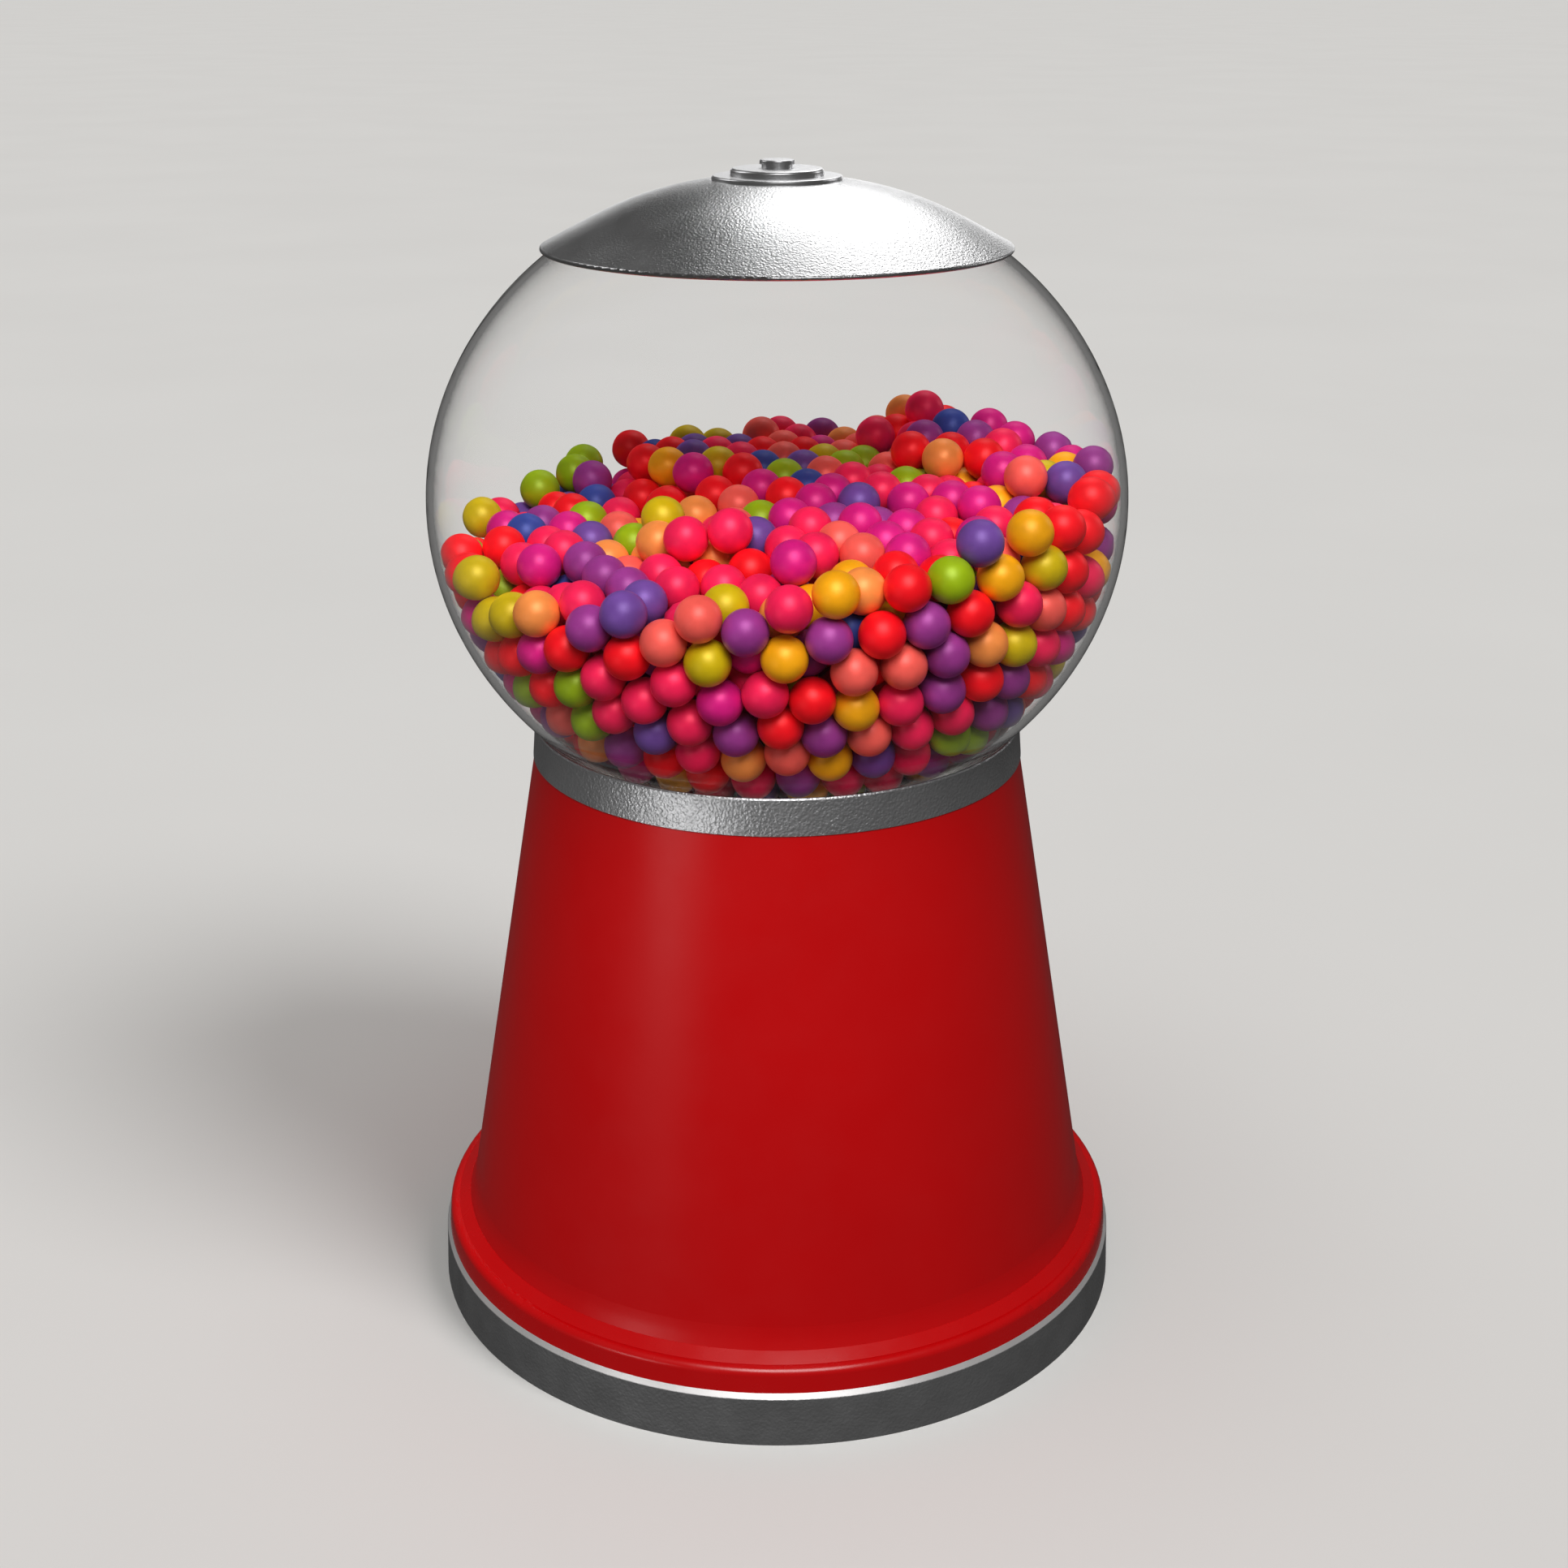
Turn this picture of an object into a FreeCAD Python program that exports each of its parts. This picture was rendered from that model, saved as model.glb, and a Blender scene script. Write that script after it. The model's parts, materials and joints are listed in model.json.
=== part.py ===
import FreeCAD, Part
import math
import os

# Home gumball machine, all sizes in millimetres.
# Origin: on the vertical axis, on the surface the machine stands on. +Z is up.
# The coin mechanism and the gumball outlet face -Y.

# ---- outer shape -----------------------------------------------------------
BASE_R = 119.0                # foot of the base ring
BASE_TOP_R = 117.2            # top edge of the base ring's bright chamfer
BASE_CHAMFER_R = 118.3
BASE_CHAMFER_Z = 16.5
BASE_H = 18.3
FLANGE_RIM_R = 116.7          # upright edge of the red flange
FLANGE_RIM_Z = 25.2
FLANGE_EDGE_R = 113.6         # inner end of the rim's rounding
FLANGE_EDGE_Z = 26.4
BODY_FOOT_Z = 28.8
BODY_TOP_Z = 191.4
BODY_TOP_R = 80.6
BODY_TAPER = 0.1716           # growth of the radius for each millimetre down
BODY_WALL = 3.0
FOOT_COVE = 1.1               # how far the body flares out where it meets the flange
FOOT_COVE_H = 7.0
COLLAR_R = 81.0
COLLAR_TOP_R = 80.1
COLLAR_TOP_Z = 203.1
COLLAR_FLANGE = 3.0           # thickness of the collar's inner flange
COLLAR_IN_R = 62.0
COLLAR_WALL_R = 76.6          # pocket in which the globe's gasket lies
COLLAR_SCREW_CIRCLE = 66.0
GLOBE_Z = 274.5               # centre of the globe
GLOBE_A = 111.25              # horizontal half axis of the globe
GLOBE_B = 101.3               # vertical half axis of the globe
GLASS = 2.2
GLOBE_FOOT_Z = 195.9
GLOBE_MOUTH_Z = 357.0
LID_TOP_Z = 374.3
LID_FLAT_R = 20.6
LID_RIM_R = 72.3
LID_RIM_Z = 355.2
LOWER_DISC_R = 20.0
LOWER_DISC_Z = 375.6          # top of the finial's lower disc
UPPER_DISC_R = 14.3
UPPER_DISC_Z = 377.7          # top of the finial's upper disc
STEM_R = 2.5                  # threaded stem of the finial

# ---- base and coin bank ----------------------------------------------------
PLATE_Z0 = 8.0                # underside of the base plate
PLATE_Z1 = 10.0
PLATE_R = 112.8
SCREW_CIRCLE = 103.0
PAD_CIRCLE = 95.0
PAD_R = 8.0
PAD_STEM_R = 2.5
CAP_Y = 60.0                  # coin bank cap, behind the axis
CAP_R = 18.0
CAP_LUG_R = 21.0
CAP_TURN = 45.0               # quarter-turn style lock of the cap, degrees

# ---- wheel, hopper and gears -----------------------------------------------
MODULE = 1.6
PINION_TEETH = 10
WHEEL_TEETH = 60
PINION_R = MODULE * PINION_TEETH / 2
GEAR_R = MODULE * WHEEL_TEETH / 2
ADDENDUM = MODULE
DEDENDUM = 1.25 * MODULE
TOOTH_HALF = 0.92             # half width of a tooth on the pitch line
FLANK = math.tan(math.radians(20.0))
SHAFT_Z = 168.2
MESH_Z = SHAFT_Z + PINION_R
FACE = 4.0                    # face width of both gears
WHEEL_Z0 = 178.3
WHEEL_Z1 = 191.0
WHEEL_R = 50.0
POCKETS = 6
POCKET_CIRCLE = 33.0
POCKET_R = 8.0
FLOOR_Z0 = 175.2              # hopper floor under the wheel
FLOOR_Z1 = 178.2
TROUGH_R0 = 45.3              # gear trough round the hopper floor
TROUGH_R1 = 51.0
TROUGH_Z = 171.5
HOPPER_WALL = 2.5
HOPPER_R = 77.4
HOPPER_Z0 = 188.4             # underside of the hopper's flange
BOSS_R = 6.0                  # hub on which the wheel turns
BOSS_TOP = 191.6
ROD_R = 3.0
GUARD_T = 1.8
GUARD_SCREW_CIRCLE = 55.5

# ---- chute and outlet ------------------------------------------------------
CHUTE_R = 8.3
CHUTE_WALL = 1.2
CHUTE_HALF = 10.0             # half width of the ramp
DROP_Z = 150.0                # height at which the round tube opens into the ramp
RAMP_HIGH_Y = -43.0           # where the ramp's roof begins
RAMP_BACK_Z = 139.5           # ramp floor under the tube's back
OUTLET_Z0 = 99.0
OUTLET_Z1 = 121.0
HINGE_Y = -107.5
HINGE_Z = 124.5
PIN_R = 1.0
DOOR_LEAN = 21.8              # degrees from upright
DOOR_LENGTH = 21.3
SPOUT_HALF = 15.0
SPOUT_INNER = 12.3
SPOUT_EAR = 2.0               # thickness of the spout's fixing ears
SPOUT_SCREW_X = 17.8
SPOUT_SCREW_Z = 111.0

# ---- coin mechanism --------------------------------------------------------
BOSS_HALF = 39.0              # half width of the body's flat front
BOSS_FACE_Y = -99.0
BOSS_Z0 = 88.0
BOSS_Z1 = 190.4
PLATE_T = 2.5
PLATE_HALF = 35.0
FRONT_Z0 = 92.0
FRONT_Z1 = 189.4
FRONT_Y = BOSS_FACE_Y - PLATE_T
CARRIER_R = 17.0
RUNNING = 0.08                # radial clearance of turning fits
BEZEL_R = 19.6
BEZEL_T = 2.0
CARRIER_Y0 = FRONT_Y - BEZEL_T
CARRIER_Y1 = -76.0
COIN_W = 19.6                 # slot for a coin of up to 19 mm
COIN_T = 2.4
COIN_Z = 9.8                  # slot's height above the shaft
SHAFT_R = 3.0
SHAFT_Y0 = -112.0
SHAFT_Y1 = -45.6
FRAME_HALF = 20.0
FRAME_T = 2.0
FRAME_Z0 = 152.5
FRAME_Z1 = 184.5
WEB_Y0 = -56.0
WEB_Y1 = -54.2
FRAME_BEND = 26.6             # half width over the frame's fixing flanges
CLIP_R = 5.4
RATCHET_Y0 = -72.0
RATCHET_Y1 = -69.0
RATCHET_TEETH = 12
RATCHET_R = 9.0
RATCHET_ROOT = 7.2
HANDLE_REACH = 17.0
HANDLE_END_R = 5.5
HANDLE_T = 12.0               # depth of the handle along its shaft
HANDLE_GAP = 0.7              # between the handle and the coin carrier's face
HANDLE_SEAT = 1.8             # depth of the sunk seat for the handle's screw
SCREW_TAP_R = 1.5             # radius of the threads in shaft, body and collar

SAVE_DIR = "parts"


def vec(x, y, z):
    return FreeCAD.Vector(x, y, z)


AXIS_Z = vec(0, 0, 1)
AXIS_Y = vec(0, 1, 0)
CENTRE = vec(0, 0, 0)


def save(name, shape):
    """Write one named piece, first checking that it is sound."""
    if not shape.isValid():
        raise ValueError(name + " is not a valid solid")
    shape.exportStep(os.path.join(SAVE_DIR, name + ".step"))
    print(f"{name:22s} solids {len(shape.Solids)}  volume {shape.Volume:12.1f}")


def disc(radius, z0, z1, x=0.0, y=0.0):
    return Part.makeCylinder(radius, z1 - z0, vec(x, y, z0), AXIS_Z)


def rod_y(radius, y0, y1, x=0.0, z=SHAFT_Z):
    return Part.makeCylinder(radius, y1 - y0, vec(x, y0, z), AXIS_Y)


def rod_x(radius, x0, x1, y, z):
    return Part.makeCylinder(radius, x1 - x0, vec(x0, y, z), vec(1, 0, 0))


def box(x0, x1, y0, y1, z0, z1):
    return Part.makeBox(x1 - x0, y1 - y0, z1 - z0, vec(x0, y0, z0))


def ring(r_in, r_out, z0, z1):
    return disc(r_out, z0, z1).cut(disc(r_in, z0 - 1, z1 + 1))


def ring_y(r_in, r_out, y0, y1, z=SHAFT_Z):
    return rod_y(r_out, y0, y1, z=z).cut(rod_y(r_in, y0 - 1, y1 + 1, z=z))


def line(a, b):
    return Part.makeLine(a, b)


def at(r, z):
    """A point of a profile that is turned about the vertical axis."""
    return vec(r, 0, z)


def turned(points):
    """Turn a closed profile of (radius, height) points about the vertical axis."""
    corners = [at(r, z) for r, z in points]
    face = Part.Face(Part.makePolygon(corners + corners[:1]))
    return face.revolve(CENTRE, AXIS_Z, 360)


def prism_x(points, x0, x1):
    """Extrude a closed outline of (y, z) points from x0 to x1."""
    corners = [vec(x0, y, z) for y, z in points]
    face = Part.Face(Part.makePolygon(corners + corners[:1]))
    return face.extrude(vec(x1 - x0, 0, 0))


def prism_y(points, y0, y1):
    """Extrude a closed outline of (x, z) points from y0 to y1."""
    corners = [vec(x, y0, z) for x, z in points]
    face = Part.Face(Part.makePolygon(corners + corners[:1]))
    return face.extrude(vec(0, y1 - y0, 0))


def rounded_box(x0, x1, y0, y1, z0, z1, radius):
    """A box whose four edges along Y are rounded."""
    block = box(x0, x1, y0, y1, z0, z1)
    edges = [e for e in block.Edges if abs(e.tangentAt(e.FirstParameter).y) > 0.9]
    return block.makeFillet(radius, edges)


def polar(radius, degrees):
    angle = math.radians(degrees)
    return radius * math.cos(angle), radius * math.sin(angle)


def turned_copy(shape, degrees, centre=CENTRE, axis=AXIS_Z):
    copy = shape.copy()
    copy.rotate(centre, axis, degrees)
    return copy


def sector(r_in, r_out, z0, z1, middle, half):
    """Part of a ring, from middle - half to middle + half degrees."""
    piece = Part.makeCylinder(r_out, z1 - z0, vec(0, 0, z0), AXIS_Z, 2 * half)
    piece = piece.cut(disc(r_in, z0 - 1, z1 + 1))
    return turned_copy(piece, middle - half)


def screw_z(x, y, seat, head_r, head_h, shank_r, shank_l, up=1):
    """Pan head on the seat and a shank that points up (up=1) or down (up=-1)."""
    axis = vec(0, 0, up)
    head = Part.makeCylinder(head_r, head_h, vec(x, y, seat), axis * -1)
    head = head.makeFillet(0.4 * head_h, [head.Edges[0]])
    slot = box(x - head_r, x + head_r, y - 0.4, y + 0.4, -0.45 * head_h, 0.45 * head_h)
    slot.translate(vec(0, 0, seat - up * head_h))
    return head.cut(slot).fuse(Part.makeCylinder(shank_r, shank_l, vec(x, y, seat), axis))


def screw_y(x, z, seat, head_r, head_h, shank_r, shank_l):
    """Pan head in front of the seat and a shank that points towards +Y."""
    screw = screw_z(0, 0, 0, head_r, head_h, shank_r, shank_l)
    screw.rotate(CENTRE, vec(1, 0, 0), -90)
    screw.translate(vec(x, seat, z))
    return screw


def hexagon(radius, z0, z1):
    corners = [vec(*polar(radius, 60 * k), z0) for k in range(6)]
    face = Part.Face(Part.makePolygon(corners + corners[:1]))
    return face.extrude(vec(0, 0, z1 - z0))


def body_radius(z):
    return BODY_TOP_R + (BODY_TOP_Z - z) * BODY_TAPER


def globe_radius(z, shrink=0.0):
    """Radius of the globe at a height, on a surface set in by shrink."""
    rise = (z - GLOBE_Z) / (GLOBE_B - shrink)
    return (GLOBE_A - shrink) * math.sqrt(1 - rise * rise)


def globe_arc(z0, z1, shrink=0.0):
    """Meridian of the globe between two heights."""
    a = GLOBE_A - shrink
    b = GLOBE_B - shrink
    oval = Part.Ellipse(at(a, GLOBE_Z), at(0, GLOBE_Z + b), at(0, GLOBE_Z))
    start = math.asin((z0 - GLOBE_Z) / b)
    end = math.asin((z1 - GLOBE_Z) / b)
    return Part.ArcOfEllipse(oval, start, end).toShape()


def corner_spots(circle):
    """Four places on a circle, midway between the machine's front, back and sides."""
    return [polar(circle, 45 + 90 * k) for k in range(4)]


def pad_spots():
    return [polar(PAD_CIRCLE, 90 * k) for k in range(4)]


# ---- base ------------------------------------------------------------------
def base_ring():
    ledge_r = 98.0
    ledge_z = 15.3
    wall_r = 109.0
    ring_body = turned([
        (BASE_R, 0), (BASE_CHAMFER_R, BASE_CHAMFER_Z), (BASE_TOP_R, BASE_H),
        (ledge_r, BASE_H), (ledge_r, ledge_z), (wall_r, ledge_z),
        (wall_r, PLATE_Z1), (PLATE_R + 0.2, PLATE_Z1), (PLATE_R + 0.2, 0)])
    for x, y in corner_spots(SCREW_CIRCLE):
        ring_body = ring_body.fuse(disc(5.0, PLATE_Z1, ledge_z + 0.5, x, y))
        ring_body = ring_body.cut(disc(1.9, PLATE_Z1 - 1, BASE_H - 1.5, x, y))
    return ring_body.removeSplitter()


def base_plate():
    plate = disc(PLATE_R, PLATE_Z0, PLATE_Z1)
    plate = plate.cut(disc(ROD_R + 0.2, 0, 20))
    for x, y in corner_spots(SCREW_CIRCLE):
        plate = plate.cut(disc(2.1, 0, 20, x, y))
    for x, y in pad_spots():
        plate = plate.cut(disc(PAD_STEM_R, 0, 20, x, y))
    hole = disc(CAP_R + 0.1, 0, 20)
    for side in (0, 180):
        hole = hole.fuse(sector(CAP_R - 2, CAP_LUG_R + 0.4, 0, 20, CAP_TURN + side, 16))
    hole.translate(vec(0, CAP_Y, 0))
    return plate.cut(hole)


def base_screws():
    screws = [screw_z(x, y, PLATE_Z0, 3.6, 2.4, 1.9, 8.0) for x, y in corner_spots(SCREW_CIRCLE)]
    return Part.Compound(screws)


def foot_pads():
    pads = []
    for x, y in pad_spots():
        pad = disc(PAD_R, 0, PLATE_Z0, x, y)
        pad = pad.makeFillet(1.0, [e for e in pad.Edges if e.BoundBox.ZMax < 1])
        pads.append(pad.fuse(disc(PAD_STEM_R, PLATE_Z0, PLATE_Z1 + 1.5, x, y)))
    return Part.Compound(pads)


def coin_cap():
    """Cap under the coin bank: two lugs lock it, and a bar turns it."""
    wall = 2.0
    top_z = PLATE_Z1 + 1.7
    cap = disc(CAP_R, PLATE_Z0 - 1, top_z)
    cap = cap.fuse(disc(CAP_R + 5, PLATE_Z0 - 2.0, PLATE_Z0 - 0.1))
    for side in (0, 180):
        cap = cap.fuse(sector(CAP_R - wall, CAP_LUG_R, PLATE_Z1 + 0.2, top_z, side, 13))
    cap = cap.cut(disc(CAP_R - wall, PLATE_Z0 + 0.2, top_z + 1))
    grip = rounded_box(-13, 13, -2, 2, 1.8, PLATE_Z0 - 1.5, 1.5)
    cap = cap.fuse(grip).removeSplitter()
    cap.translate(vec(0, CAP_Y, 0))
    return cap


# ---- body ------------------------------------------------------------------
def base_flange():
    """Red flange: upright rim, rounded edge and a gently rising top."""
    foot_r = body_radius(BODY_FOOT_Z) + FOOT_COVE + 0.1
    lip_r = body_radius(BODY_FOOT_Z) - BODY_WALL - 1.1
    inner_r = 100.0
    lip_z = BODY_FOOT_Z + 3.0
    rim = at(FLANGE_RIM_R, FLANGE_RIM_Z - 1.0)
    edge = at(FLANGE_EDGE_R, FLANGE_EDGE_Z)
    shoulder = at(FLANGE_RIM_R - 0.85, FLANGE_EDGE_Z - 0.55)
    path = [at(inner_r, BASE_H), at(BASE_TOP_R, BASE_H), rim]
    edges = [line(path[0], path[1]), line(path[1], path[2])]
    edges.append(Part.Arc(rim, shoulder, edge).toShape())
    rest = [edge, at(foot_r, BODY_FOOT_Z), at(lip_r, BODY_FOOT_Z), at(lip_r, lip_z),
            at(inner_r, lip_z), path[0]]
    edges += [line(a, b) for a, b in zip(rest, rest[1:])]
    return Part.Face(Part.Wire(edges)).revolve(CENTRE, AXIS_Z, 360)


def body_outside():
    """Tapered outside of the body, with a small flare at its foot."""
    half_z = BODY_FOOT_Z + FOOT_COVE_H / 2
    cove_z = BODY_FOOT_Z + FOOT_COVE_H
    foot = at(body_radius(BODY_FOOT_Z) + FOOT_COVE, BODY_FOOT_Z)
    middle = at(body_radius(half_z) + FOOT_COVE / 4, half_z)
    rest = [at(body_radius(cove_z), cove_z), at(BODY_TOP_R, BODY_TOP_Z), at(0, BODY_TOP_Z),
            at(0, BODY_FOOT_Z), foot]
    edges = [Part.Arc(foot, middle, rest[0]).toShape()]
    edges += [line(a, b) for a, b in zip(rest, rest[1:])]
    return Part.Face(Part.Wire(edges)).revolve(CENTRE, AXIS_Z, 360)


def body_shell():
    """Tapered cast body with a flat front for the coin mechanism."""
    inside_y = -60.0
    front = rounded_box(-BOSS_HALF, BOSS_HALF, BOSS_FACE_Y, inside_y, BOSS_Z0, BOSS_Z1, 4.0)
    z0, z1 = BODY_FOOT_Z - 1, BODY_TOP_Z + 1
    inner = Part.makeCone(body_radius(z0) - BODY_WALL, body_radius(z1) - BODY_WALL, z1 - z0,
                          vec(0, 0, z0))
    front_inner = box(-BOSS_HALF + BODY_WALL, BOSS_HALF - BODY_WALL, BOSS_FACE_Y + BODY_WALL,
                      inside_y - 1, BOSS_Z0 + BODY_WALL, BOSS_Z1 - BODY_WALL)
    shell = body_outside().fuse(front).cut(inner).cut(front_inner)
    window = rounded_box(-27, 27, BOSS_FACE_Y - 1, BOSS_FACE_Y + 5, 96, 186.5, 4.0)
    shell = shell.cut(window)
    for x, z in front_screw_spots():
        shell = shell.cut(rod_y(1.55, BOSS_FACE_Y - 1, BOSS_FACE_Y + 6, x, z))
    ledge = ring(70.0, body_radius(HOPPER_Z0) - 1.0, HOPPER_Z0 - 3.0, HOPPER_Z0)
    return shell.fuse(ledge).removeSplitter()


def front_screw_spots():
    return [(side * 31.0, z) for side in (-1, 1) for z in (97.0, 184.0)]


def collar_ring():
    """Cast collar that carries the globe."""
    seat_z = BODY_TOP_Z + COLLAR_FLANGE
    lip_r = 79.3
    lip_foot_z = COLLAR_TOP_Z - 4.6
    collar = turned([
        (COLLAR_R, BODY_TOP_Z), (COLLAR_TOP_R, COLLAR_TOP_Z - 0.5),
        (COLLAR_TOP_R - 0.3, COLLAR_TOP_Z), (lip_r, COLLAR_TOP_Z), (COLLAR_WALL_R, lip_foot_z),
        (COLLAR_WALL_R, seat_z), (COLLAR_IN_R, seat_z), (COLLAR_IN_R, BODY_TOP_Z)])
    for x, y in corner_spots(COLLAR_SCREW_CIRCLE):
        collar = collar.cut(disc(SCREW_TAP_R, BODY_TOP_Z - 1, seat_z - 0.8, x, y))
    return collar


def collar_screws():
    spots = corner_spots(COLLAR_SCREW_CIRCLE)
    return Part.Compound([screw_z(x, y, HOPPER_Z0, 2.8, 1.8, SCREW_TAP_R, 5.0) for x, y in spots])


# ---- globe -----------------------------------------------------------------
def globe_gasket():
    seat_z = BODY_TOP_Z + COLLAR_FLANGE
    foot_r = globe_radius(GLOBE_FOOT_Z)
    top_z = GLOBE_FOOT_Z + 2.1
    inner_r = COLLAR_IN_R + 0.5
    outer_r = COLLAR_WALL_R - 0.2
    return turned([
        (inner_r, seat_z), (outer_r, seat_z), (outer_r, top_z), (globe_radius(top_z) + 0.5, top_z),
        (foot_r + 0.4, GLOBE_FOOT_Z), (inner_r, GLOBE_FOOT_Z)])


def globe_glass():
    outer = globe_arc(GLOBE_FOOT_Z, GLOBE_MOUTH_Z)
    inner = globe_arc(GLOBE_FOOT_Z, GLOBE_MOUTH_Z, GLASS)
    ends = []
    for z in (GLOBE_FOOT_Z, GLOBE_MOUTH_Z):
        ends.append(line(at(globe_radius(z), z), at(globe_radius(z, GLASS), z)))
    wire = Part.Wire(Part.__sortEdges__([outer, ends[1], inner, ends[0]]))
    return Part.Face(wire).revolve(CENTRE, AXIS_Z, 360)


def gumball_fill():
    """Heap of gumballs as one plain solid, kept clear of the wheel and agitator."""
    gap = GLASS + 1.0
    z0 = 196.0
    z1 = 281.0
    top_z = 288.0
    hollow_r = 24.0
    hollow_z = 209.0
    side = globe_arc(z0, z1, gap)
    rest = [at(globe_radius(z1, gap), z1), at(0, top_z), at(0, hollow_z),
            at(hollow_r, hollow_z), at(hollow_r, z0), at(globe_radius(z0, gap), z0)]
    edges = [side] + [line(a, b) for a, b in zip(rest, rest[1:])]
    return Part.Face(Part.Wire(Part.__sortEdges__(edges))).revolve(CENTRE, AXIS_Z, 360)


# ---- lid -------------------------------------------------------------------
LID_SHEET = vec(-0.5, 0, -1.3)     # from the lid's outside to its inside


def lid_outline():
    """Outside of the lid, from its flat crown to its rim."""
    points = [(LID_FLAT_R, LID_TOP_Z), (33.7, 371.8), (46.0, 368.0), (59.5, 361.9),
              (LID_RIM_R, LID_RIM_Z)]
    return [at(r, z) for r, z in points]


def spline(points):
    curve = Part.BSplineCurve()
    curve.interpolate(points)
    return curve.toShape()


def lid_shell():
    outside = lid_outline()
    inside = [p + LID_SHEET for p in outside]
    bead = (outside[-1] + inside[-1]) * 0.5 + vec(0.61, 0, -0.34)
    hole_r = STEM_R + 0.1
    edges = [
        line(at(hole_r, LID_TOP_Z), outside[0]), spline(outside),
        Part.Arc(outside[-1], bead, inside[-1]).toShape(), spline(inside),
        line(inside[0], at(hole_r, inside[0].z)),
        line(at(hole_r, inside[0].z), at(hole_r, LID_TOP_Z))]
    return Part.Face(Part.Wire(Part.__sortEdges__(edges))).revolve(CENTRE, AXIS_Z, 360)


def lid_gasket(lid):
    """Ring under the lid that sits on the globe's mouth and centres the lid."""
    inner_r = 55.5
    plug_r = globe_radius(GLOBE_MOUTH_Z, GLASS) - 0.5
    plug_z = GLOBE_MOUTH_Z - 4.5
    seat_r = 63.0
    raw = turned([
        (inner_r, plug_z), (plug_r, plug_z), (plug_r, GLOBE_MOUTH_Z), (seat_r, GLOBE_MOUTH_Z),
        (seat_r, LID_TOP_Z - 6.0), (inner_r, LID_TOP_Z - 6.0)])
    parts = raw.cut(lid).Solids
    return min(parts, key=lambda s: s.CenterOfMass.z)


def finial_disc(radius, z0, z1):
    piece = disc(radius, z0, z1)
    top = [e for e in piece.Edges if e.BoundBox.ZMin > z1 - 0.01]
    piece = piece.makeFillet(0.45 * (z1 - z0), top)
    return piece.cut(disc(STEM_R, z0 - 1, z1 + 1))


def finial_button():
    """Button with a threaded stem that goes down through both discs and the lid."""
    stem = disc(STEM_R, LID_TOP_Z - 8.3, UPPER_DISC_Z)
    neck = disc(4.7, UPPER_DISC_Z, UPPER_DISC_Z + 1.6)
    head = disc(5.35, UPPER_DISC_Z + 1.2, UPPER_DISC_Z + 2.5)
    top = [e for e in head.Edges if e.BoundBox.ZMin > UPPER_DISC_Z + 2.4]
    return stem.fuse(neck).fuse(head.makeFillet(0.5, top)).removeSplitter()


def finial_nut():
    top = LID_TOP_Z + LID_SHEET.z
    return hexagon(5.2, top - 3.6, top).cut(disc(STEM_R, top - 5, top + 1))


# ---- hopper and wheel ------------------------------------------------------
def hopper():
    """Floor under the wheel, gear trough, well wall, flange and wheel hub."""
    wall_r = TROUGH_R1 + HOPPER_WALL
    inner_wall_r = TROUGH_R0 - 2.0
    body = turned([
        (ROD_R, BOSS_TOP), (BOSS_R, BOSS_TOP), (BOSS_R, FLOOR_Z1), (TROUGH_R0, FLOOR_Z1),
        (TROUGH_R0, TROUGH_Z), (TROUGH_R1, TROUGH_Z), (TROUGH_R1, BODY_TOP_Z),
        (HOPPER_R, BODY_TOP_Z), (HOPPER_R, HOPPER_Z0), (wall_r, HOPPER_Z0),
        (wall_r, TROUGH_Z - HOPPER_WALL), (inner_wall_r, TROUGH_Z - HOPPER_WALL),
        (inner_wall_r, FLOOR_Z0), (ROD_R, FLOOR_Z0)])
    body = body.cut(disc(CHUTE_R, 170, 180, 0, -POCKET_CIRCLE))
    tip_r = PINION_R + ADDENDUM
    slot_half = tip_r + 0.8
    mesh_y = -GEAR_R
    body = body.cut(box(-slot_half, slot_half, mesh_y - FACE / 2 - 0.8, mesh_y + FACE / 2 + 0.6,
                        160, TROUGH_Z + 5))
    body = body.cut(rod_y(SHAFT_R + 0.6, -wall_r - 2, mesh_y))
    for x, y in corner_spots(COLLAR_SCREW_CIRCLE):
        body = body.cut(disc(SCREW_TAP_R + 0.1, HOPPER_Z0 - 1, BODY_TOP_Z + 1, x, y))
    for x, y in guard_spots():
        body = body.cut(disc(1.2, HOPPER_Z0 - 1, BODY_TOP_Z + 1, x, y))
    return body


def guard_spots():
    return [polar(GUARD_SCREW_CIRCLE, -90 + side * 10) for side in (-1, 1)]


def ball_guard():
    """Plate over the pocket that stands above the chute."""
    z0 = BODY_TOP_Z
    z1 = z0 + GUARD_T
    plate = sector(22.5, 59.0, z0, z1, -90, 16)
    for x, y in guard_spots():
        plate = plate.cut(disc(1.3, z0 - 1, z1 + 1, x, y))
    return plate


def guard_screws():
    seat = BODY_TOP_Z + GUARD_T
    screws = [screw_z(x, y, seat, 2.2, 1.2, 1.2, 4.4, up=-1) for x, y in guard_spots()]
    return Part.Compound(screws)


def crown_tooth():
    """One tooth under the wheel's edge, pointing down, on the +X side."""
    tip = TOOTH_HALF - ADDENDUM * FLANK
    root_z = WHEEL_Z0 + 0.5
    root = TOOTH_HALF + (root_z - MESH_Z) * FLANK
    r_in = GEAR_R - FACE / 2
    corners = [vec(r_in, -root, root_z), vec(r_in, root, root_z),
               vec(r_in, tip, MESH_Z - ADDENDUM), vec(r_in, -tip, MESH_Z - ADDENDUM)]
    face = Part.Face(Part.makePolygon(corners + corners[:1]))
    return face.extrude(vec(FACE, 0, 0))


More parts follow.
